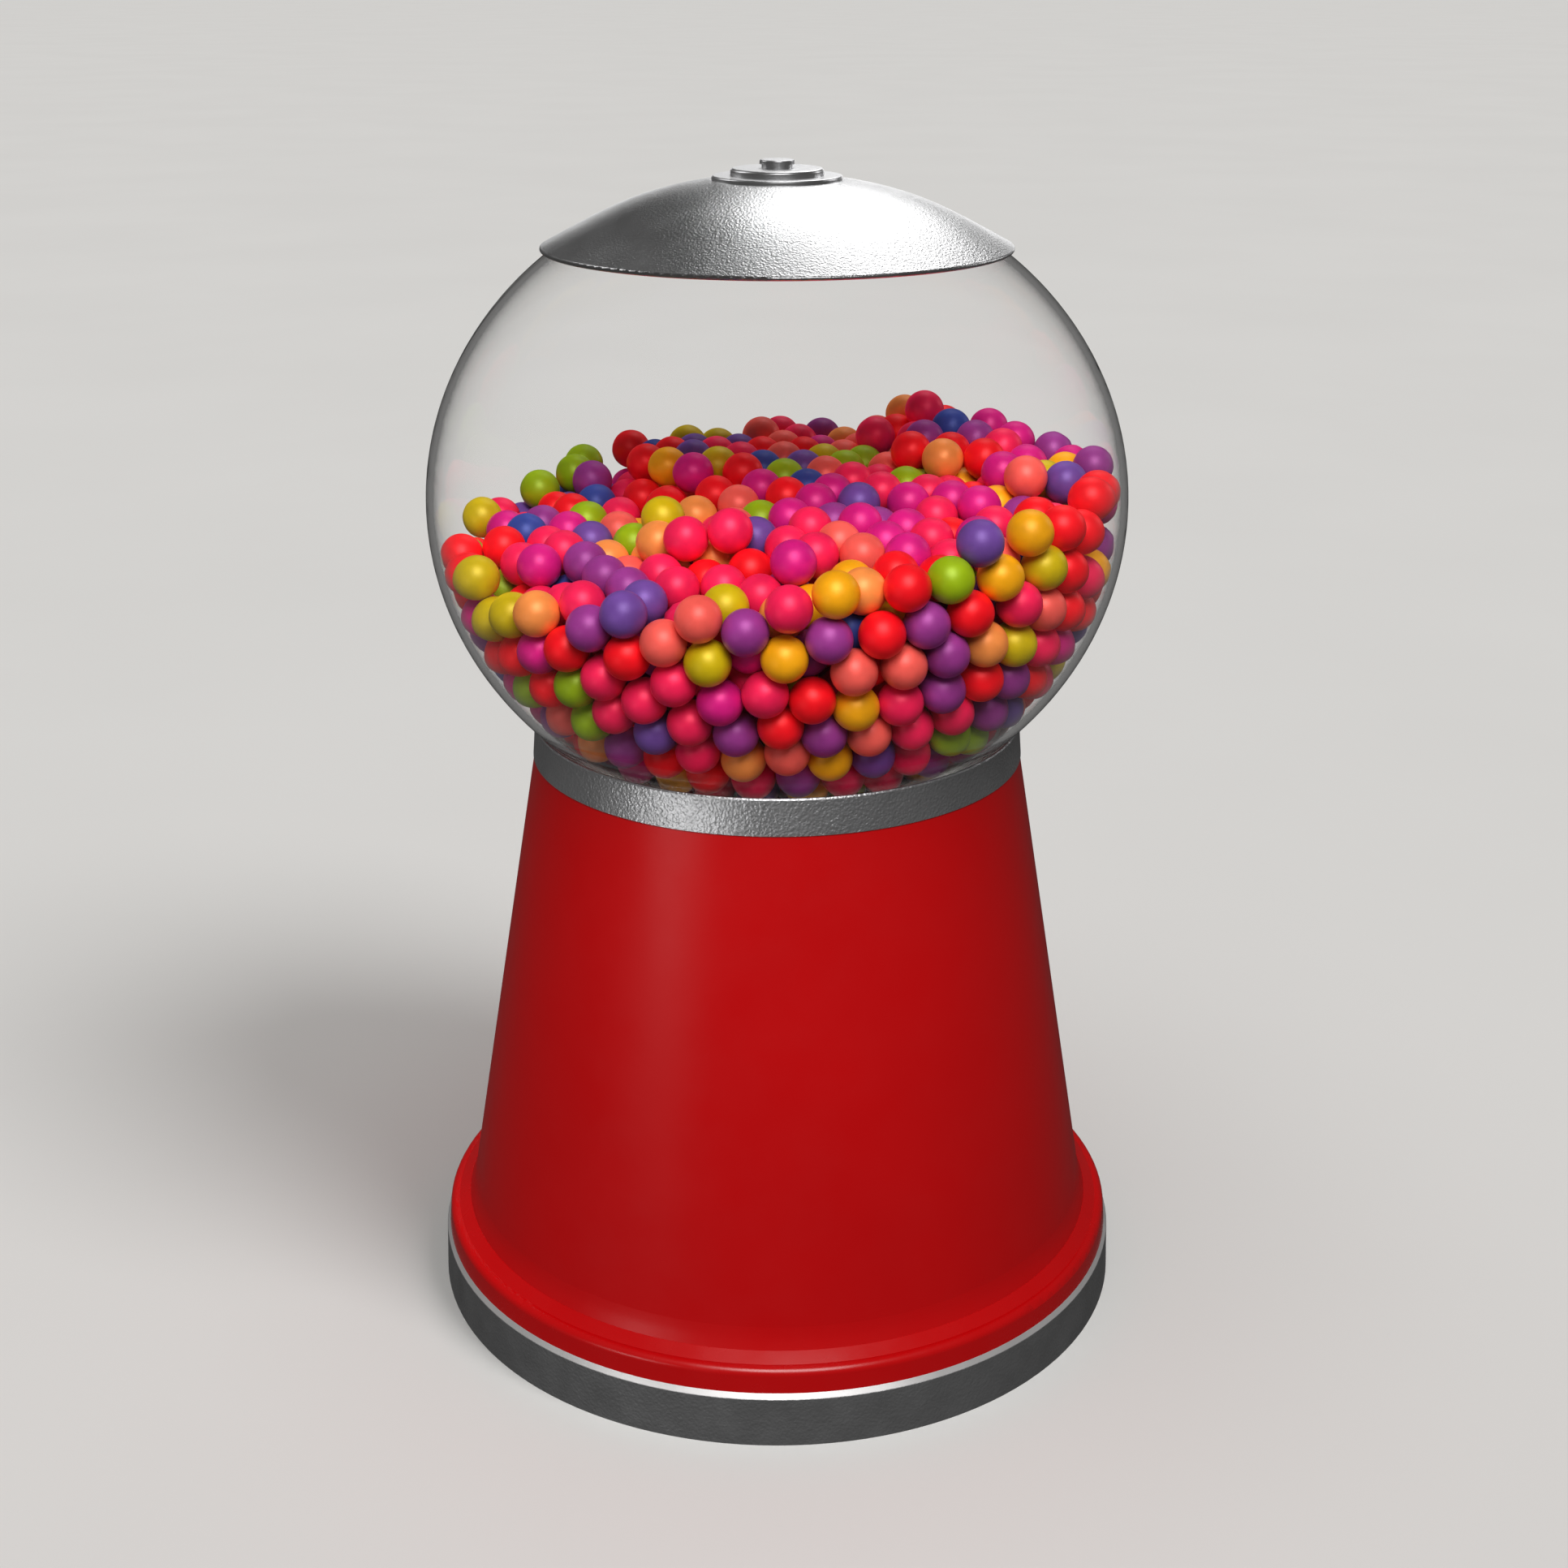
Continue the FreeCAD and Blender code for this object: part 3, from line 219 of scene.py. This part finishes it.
class Look:
    """A procedural material in the machine's own coordinates, in metres."""

    def __init__(self, name, colour, **values):
        self.material = bpy.data.materials.new(name)
        self.material.use_nodes = True
        self.tree = self.material.node_tree
        self.shader = self.tree.nodes["Principled BSDF"]
        self.shader.inputs["Base Color"].default_value = (*colour, 1)
        for key, value in values.items():
            self.shader.inputs[key.replace("_", " ").title()].default_value = value
        self.place = self.tree.nodes.new("ShaderNodeTexCoord").outputs["Object"]
        self.height = None

    def node(self, kind, inputs=(), **settings):
        """New shader node, whose inputs are given as numbers, colours or sockets."""
        node = self.tree.nodes.new("ShaderNode" + kind)
        for key, value in settings.items():
            setattr(node, key, value)
        for key, value in dict(inputs).items():
            if isinstance(value, bpy.types.NodeSocket):
                self.tree.links.new(value, node.inputs[key])
            else:
                node.inputs[key].default_value = value
        return node

    def noise(self, scale, detail=3.0, roughness=0.5):
        node = self.node("TexNoise", {"Vector": self.place, "Scale": scale, "Detail": detail,
                                      "Roughness": roughness})
        return node.outputs["Fac"]

    def cells(self, scale, smooth):
        """Rounded pebbles."""
        node = self.node("TexVoronoi", {"Vector": self.place, "Scale": scale}, feature="SMOOTH_F1")
        node.inputs["Smoothness"].default_value = smooth
        return node.outputs["Distance"]

    def ramp(self, source, low, high, out_low=0.0, out_high=1.0):
        """Straight-line change from out_low, where source is low, to out_high."""
        node = self.node("MapRange", {"Value": source, "From Min": low, "From Max": high,
                                      "To Min": out_low, "To Max": out_high})
        return node.outputs["Result"]

    def mix(self, factor, a, b):
        node = self.node("Mix", data_type="RGBA")
        for socket, value in ((node.inputs["Factor"], factor), (node.inputs[6], a),
                              (node.inputs[7], b)):
            if isinstance(value, bpy.types.NodeSocket):
                self.tree.links.new(value, socket)
            elif isinstance(value, tuple):
                socket.default_value = (*value, 1)
            else:
                socket.default_value = value
        return node.outputs[2]

    def mottle(self, a, b, scale, low=0.35, high=0.65, detail=4.0):
        """Cloudy blend of two colours."""
        return self.mix(self.ramp(self.noise(scale, detail), low, high), a, b)

    def level(self, z_low, z_high):
        """0 below z_low and 1 above z_high, both in metres above the floor."""
        split = self.node("SeparateXYZ", {"Vector": self.place})
        return self.ramp(split.outputs["Z"], z_low, z_high)

    def colour(self, source):
        self.tree.links.new(source, self.shader.inputs["Base Color"])

    def roughness(self, source):
        self.tree.links.new(source, self.shader.inputs["Roughness"])

    def bump(self, height, depth_mm, strength=1.0):
        """Adds a layer of relief, depth_mm deep, over the layers before it."""
        inputs = {"Height": height, "Distance": depth_mm * MM, "Strength": strength}
        if self.height is not None:
            inputs["Normal"] = self.height
        node = self.node("Bump", inputs)
        self.height = node.outputs["Normal"]
        self.tree.links.new(self.height, self.shader.inputs["Normal"])


def red_enamel(name, roughness, specular):
    """Baked gloss enamel with a faint orange peel."""
    look = Look(name, (0.48, 0.001, 0.002))
    look.shader.inputs["Specular IOR Level"].default_value = specular
    look.colour(look.mottle((0.50, 0.001, 0.002), (0.46, 0.001, 0.002), 9.0))
    look.roughness(look.ramp(look.noise(60, 5), 0.3, 0.7, roughness - 0.04, roughness + 0.04))
    look.bump(look.noise(420, 2), 0.02, 0.5)
    return look


def crinkle(look, depth, scale, where=1.0):
    """Fine leathery skin of textured metal, depth in mm and scale in lumps to the metre."""
    look.bump(look.noise(scale, 2.5, 0.55), depth, where)
    look.bump(look.cells(1.25 * scale, 0.7), 0.6 * depth, where)


def cast_metal(name, dark, light, roughness, metallic, depth, scale):
    """Metal with a crinkled skin, clouded between two tones."""
    look = Look(name, dark, metallic=metallic)
    look.colour(look.mix(look.ramp(look.noise(40, 4), 0.3, 0.7), dark, light))
    look.roughness(look.ramp(look.noise(90, 4), 0.3, 0.7, roughness - 0.02, roughness + 0.03))
    crinkle(look, depth, scale)
    return look


def base_metal():
    """Dark textured ring whose chamfer is machined bright, and nearly smooth."""
    look = Look("base_metal", (0.14, 0.14, 0.14), metallic=0.8)
    dark = look.mottle((0.25, 0.25, 0.252), (0.275, 0.275, 0.278), 120)
    bright = look.level(*CHAMFER_EDGE)
    look.colour(look.mix(bright, dark, (0.92, 0.90, 0.89)))
    fine = look.ramp(look.noise(90, 4), 0.3, 0.7, 0.40, 0.50)
    worn = look.ramp(look.noise(50, 4), 0.3, 0.7, 0.34, 0.44)
    look.roughness(look.mix(bright, fine, worn))
    smoothed = maths(look.tree, "MULTIPLY", bright, 0.88)
    crinkle(look, 0.16, 850, maths(look.tree, "SUBTRACT", 0.9, smoothed))
    return look


def polished(name, colour, roughness):
    """Polished or plated metal with faint smears."""
    look = Look(name, colour, metallic=1.0)
    look.roughness(look.ramp(look.noise(70, 5, 0.65), 0.35, 0.75, roughness, roughness + 0.05))
    tint = tuple(0.94 * c for c in colour)
    look.colour(look.mix(look.ramp(look.noise(25, 3), 0.3, 0.7), colour, tint))
    return look


def machined(name, colour, roughness=0.32):
    """Plain steel or bronze with fine tool marks."""
    look = Look(name, colour, metallic=1.0)
    tint = tuple(0.75 * c for c in colour)
    look.colour(look.mottle(colour, tint, 160))
    look.roughness(look.ramp(look.noise(220, 4), 0.3, 0.7, roughness - 0.08, roughness + 0.1))
    look.bump(look.noise(900, 2), 0.02, 0.5)
    return look


def moulded(name, colour, roughness=0.45):
    """Moulded plastic with a fine spark-eroded grain."""
    look = Look(name, colour)
    tint = tuple(0.86 * c for c in colour)
    look.colour(look.mottle(colour, tint, 35))
    look.roughness(look.ramp(look.noise(150, 4), 0.3, 0.7, roughness - 0.06, roughness + 0.08))
    look.bump(look.noise(1400, 2), 0.03, 0.5)
    return look


def clear_glass():
    """Slightly wavy glass that lets lamplight through without a caustic."""
    look = Look("globe_clear", (1.0, 1.0, 1.0), roughness=0.0)
    look.shader.inputs["IOR"].default_value = GLASS_IOR
    look.shader.inputs["Transmission Weight"].default_value = 1.0
    look.bump(look.noise(14, 2), 0.15, 0.25)
    path = look.node("LightPath").outputs["Is Shadow Ray"]
    open_air = look.node("BsdfTransparent").outputs[0]
    mixed = look.node("MixShader", {0: path, 1: look.shader.outputs[0], 2: open_air})
    output = look.tree.nodes["Material Output"]
    look.tree.links.new(mixed.outputs[0], output.inputs["Surface"])
    return look


def clear_seal():
    """Milky, half-clear rubber."""
    look = Look("seal_clear", (0.80, 0.80, 0.76), roughness=0.35)
    look.colour(look.mottle((0.82, 0.82, 0.78), (0.74, 0.74, 0.70), 60))
    look.bump(look.noise(500, 2), 0.03, 0.5)
    return look


def candy(name, colour):
    """Sugar shell: a little uneven in colour, with a soft sheen."""
    look = Look(name, colour, roughness=0.38, metallic=0.2)
    look.shader.inputs["Specular IOR Level"].default_value = 0.3
    pale = tuple(min(1.0, c * 1.1 + 0.002) for c in colour)
    deep = tuple(c * 0.8 for c in colour)
    look.colour(look.mottle(deep, pale, 110, 0.3, 0.7, 5.0))
    look.roughness(look.ramp(look.noise(260, 3), 0.3, 0.7, 0.34, 0.44))
    look.bump(look.noise(200, 3), 0.08, 0.3)
    return look


def make_materials():
    """Materials by slot: the record's slots, and two that dress_cad_nodes adds."""
    looks = {
        "red_enamel": red_enamel("red_enamel", 0.34, 0.28),
        "rim_enamel": red_enamel("rim_enamel", 0.26, 0.42),
        "cast_textured": cast_metal("cast_textured", (0.34, 0.34, 0.345), (0.42, 0.42, 0.425),
                                    0.38, 0.85, 0.24, 900),
        "base_metal": base_metal(),
        "lid_metal": cast_metal("lid_metal", (0.64, 0.64, 0.645), (0.70, 0.70, 0.705),
                                0.32, 1.0, 0.11, 1250),
        "polished_metal": polished("polished_metal", (0.84, 0.84, 0.85), 0.32),
        "chrome_plate": polished("chrome_plate", (0.72, 0.72, 0.74), 0.1),
        "screw_steel": machined("screw_steel", (0.62, 0.62, 0.63)),
        "galvanised_sheet": machined("galvanised_sheet", (0.50, 0.52, 0.54), 0.4),
        "spring_steel": machined("spring_steel", (0.28, 0.30, 0.36)),
        "gear_steel": machined("gear_steel", (0.45, 0.45, 0.45)),
        "bronze": machined("bronze", (0.50, 0.32, 0.13)),
        "rubber_black": moulded("rubber_black", (0.02, 0.02, 0.02), 0.75),
        "hopper_plastic": moulded("hopper_plastic", (0.05, 0.05, 0.055)),
        "wheel_plastic": moulded("wheel_plastic", (0.75, 0.73, 0.68)),
        "chute_plastic": moulded("chute_plastic", (0.06, 0.06, 0.065)),
        "cap_plastic": moulded("cap_plastic", (0.03, 0.03, 0.03)),
        "seal_clear": clear_seal(),
        "globe_clear": clear_glass(),
    }
    return {name: look.material for name, look in looks.items()}


def dress_cad_nodes(materials):
    """Gives every CAD node its material, but for the gumballs' stand-in."""
    slots = dict(SLOTS, base_ring="base_metal", base_flange="rim_enamel")
    for name, thing in NODES.items():
        slot = slots[name]
        if slot in materials:
            thing.data.materials.clear()
            thing.data.materials.append(materials[slot])


# ---- gumballs ---------------------------------------------------------------
BALL_R = 6.85 * MM
BALL_COUNT = 1120
BALL_ROOM = 2.4 * MM            # wall of the globe and a little air
GLOBE_MIDDLE = 274.5 * MM       # height of the globe's widest ring
GLOBE_HALF_Z = 101.3 * MM       # vertical half axis of the globe
AGITATOR_REACH = 23.6 * MM      # what the agitator sweeps, from the middle of the wheel's top
WHEEL_AIR = 0.3 * MM
SEED = 7
PITCH = 2.08 * BALL_R           # between neighbours of the first lattice
LAYER = 0.82 * PITCH            # between its layers
SHAKE = 0.23 * BALL_R           # spread of its unevenness
LATTICE_MIDDLE = 0.235          # height of its middle layer, in metres
FALL = (-0.12, -0.04, -1.0)     # the way down, aslant as in the photograph
FALL_MM, FALL_SHARE = 0.32, 0.62            # first step's length, and the share of steps that fall
NEAR_GLASS, DRAW = 0.93, 0.0012             # balls beyond this reach are drawn outwards so much
COARSE, FINE = 2, 4             # divisions of hidden balls and of balls in sight
SIGHT_REACH, SIGHT_TOP = 0.87, 0.72         # in sight: beyond this reach, or above this share

# Colours with their shares
CANDY = [
    ("red", (0.92, 0.003, 0.010), 22), ("pink", (0.90, 0.012, 0.085), 21),
    ("magenta", (0.66, 0.008, 0.20), 13), ("coral", (0.92, 0.11, 0.085), 9),
    ("peach", (0.92, 0.28, 0.06), 4), ("amber", (0.90, 0.38, 0.003), 7),
    ("yellow", (0.60, 0.43, 0.002), 6), ("lime", (0.30, 0.44, 0.003), 7),
    ("purple", (0.30, 0.035, 0.24), 11), ("violet", (0.15, 0.06, 0.30), 6),
    ("navy", (0.035, 0.06, 0.30), 5),
]


class Heap:
    """Round balls settled in the globe by small steps down, each step pushing overlaps apart."""

    def __init__(self):
        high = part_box("globe_glass")[1]
        wheel_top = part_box("gumball_wheel")[1].z
        self.half = np.array([high.x, high.y, GLOBE_HALF_Z]) - BALL_ROOM - BALL_R
        self.centre = np.array([0, 0, GLOBE_MIDDLE])
        self.floor = wheel_top + BALL_R + WHEEL_AIR
        self.hub = np.array([0, 0, wheel_top])
        self.hub_reach = AGITATOR_REACH + BALL_R
        self.rng = np.random.default_rng(SEED)
        self.down = np.array(FALL)
        self.down /= np.linalg.norm(self.down)
        self.points = self.loose_lattice()

    def reach(self):
        """Distance of each ball from the globe's centre, 1 where it touches the glass."""
        return np.linalg.norm((self.points - self.centre) / self.half, axis=1)

    def loose_lattice(self):
        """Shaken close packing, filled from below: triangles in layers, every other one shifted."""
        rows = range(-10, 11)
        layers = range(-9, 12)
        spots = [(PITCH * (i + 0.5 * (j % 2) + 0.5 * (k % 2)), PITCH * (0.87 * j + 0.29 * (k % 2)),
                  LATTICE_MIDDLE + LAYER * k) for k in layers for i in rows for j in rows]
        self.points = np.array(spots)
        self.points += self.rng.normal(0, SHAKE, self.points.shape)
        inside = (self.reach() < 1) & (self.points[:, 2] > self.floor)
        spots = self.points[inside]
        return spots[np.argsort(-(spots @ self.down))][:BALL_COUNT]

    def neighbours(self, reach):
        """Pairs of balls whose centres are closer than reach."""
        gap = self.points[:, None, :] - self.points[None, :, :]
        return np.nonzero(np.triu((gap * gap).sum(2) < reach * reach, 1))

    def separate(self, i, j):
        """Pushes overlapping pairs apart, each ball by half of the overlap."""
        gap = self.points[i] - self.points[j]
        distance = np.maximum(np.linalg.norm(gap, axis=1), 1e-9)
        overlap = np.maximum(2 * BALL_R - distance, 0) / 2
        push = gap * (overlap / distance)[:, None]
        touching = (overlap > 0).astype(float)
        n = len(self.points)
        count = np.bincount(i, touching, n) + np.bincount(j, touching, n)
        moves = [np.bincount(i, push[:, k], n) - np.bincount(j, push[:, k], n) for k in range(3)]
        self.points += np.stack(moves, 1) * (1.5 / np.maximum(count, 1.5))[:, None]

    def keep_inside(self, draw):
        """Holds the balls in the glass and off the agitator, and draws the outer ones outwards."""
        away = self.points - self.hub
        distance = np.linalg.norm(away, axis=1)
        self.points += away * (np.maximum(self.hub_reach - distance, 0) / distance)[:, None]
        reach = self.reach()
        wanted = np.minimum(np.where(reach > NEAR_GLASS, reach + draw, reach), 1)
        self.points = (self.points - self.centre) * (wanted / reach)[:, None] + self.centre
        self.points[:, 2] = np.maximum(self.points[:, 2], self.floor)

    def settle(self, steps=500):
        """Lets the balls fall, ever more slowly, and then only come apart."""
        for step in range(steps):
            if step % 6 == 0:
                i, j = self.neighbours(2 * BALL_R + 4 * MM)
            pull = max(0.0, 1 - step / (FALL_SHARE * steps))
            self.points += self.down * FALL_MM * MM * pull
            for _ in range(4):
                self.separate(i, j)
                self.keep_inside(DRAW * pull)
        return self.points


def ball_mesh(name, centres, fine):
    """One mesh of separate round balls, finely divided where fine is true."""
    templates = {}
    for divisions in (COARSE, FINE):
        shape = bmesh.new()
        bmesh.ops.create_icosphere(shape, subdivisions=divisions, radius=BALL_R)
        co = np.array([v.co[:] for v in shape.verts])
        faces = np.array([[v.index for v in f.verts] for f in shape.faces])
        templates[divisions] = (co, faces)
        shape.free()
    verts, faces, start = [], [], 0
    for centre, is_fine in zip(centres, fine):
        co, corners = templates[FINE if is_fine else COARSE]
        verts.append(co + centre)
        faces.append(corners + start)
        start += len(co)
    verts, faces = np.concatenate(verts), np.concatenate(faces)
    mesh = bpy.data.meshes.new(name)
    mesh.from_pydata(verts.tolist(), [], faces.tolist())
    mesh.shade_smooth()
    return mesh


def make_gumballs():
    """One piece for each colour, all together in place of the CAD's plain heap."""
    heap = Heap()
    centres = heap.settle()
    top = centres[:, 2] > np.quantile(centres[:, 2], SIGHT_TOP)
    fine = (heap.reach() > SIGHT_REACH) | top
    weights = np.array([share for _, _, share in CANDY], float)
    picks = heap.rng.choice(len(CANDY), len(centres), p=weights / weights.sum())
    for number, (name, colour, _) in enumerate(CANDY):
        chosen = picks == number
        mesh = ball_mesh("gumballs_" + name, centres[chosen], fine[chosen])
        piece = bpy.data.objects.new("gumballs_" + name, mesh)
        bpy.context.scene.collection.objects.link(piece)
        mesh.materials.append(candy("candy_" + name, colour).material)
        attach(piece, "machine")
        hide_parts("gumball_fill")


make_camera()
make_studio()
dress_cad_nodes(make_materials())
make_gumballs()
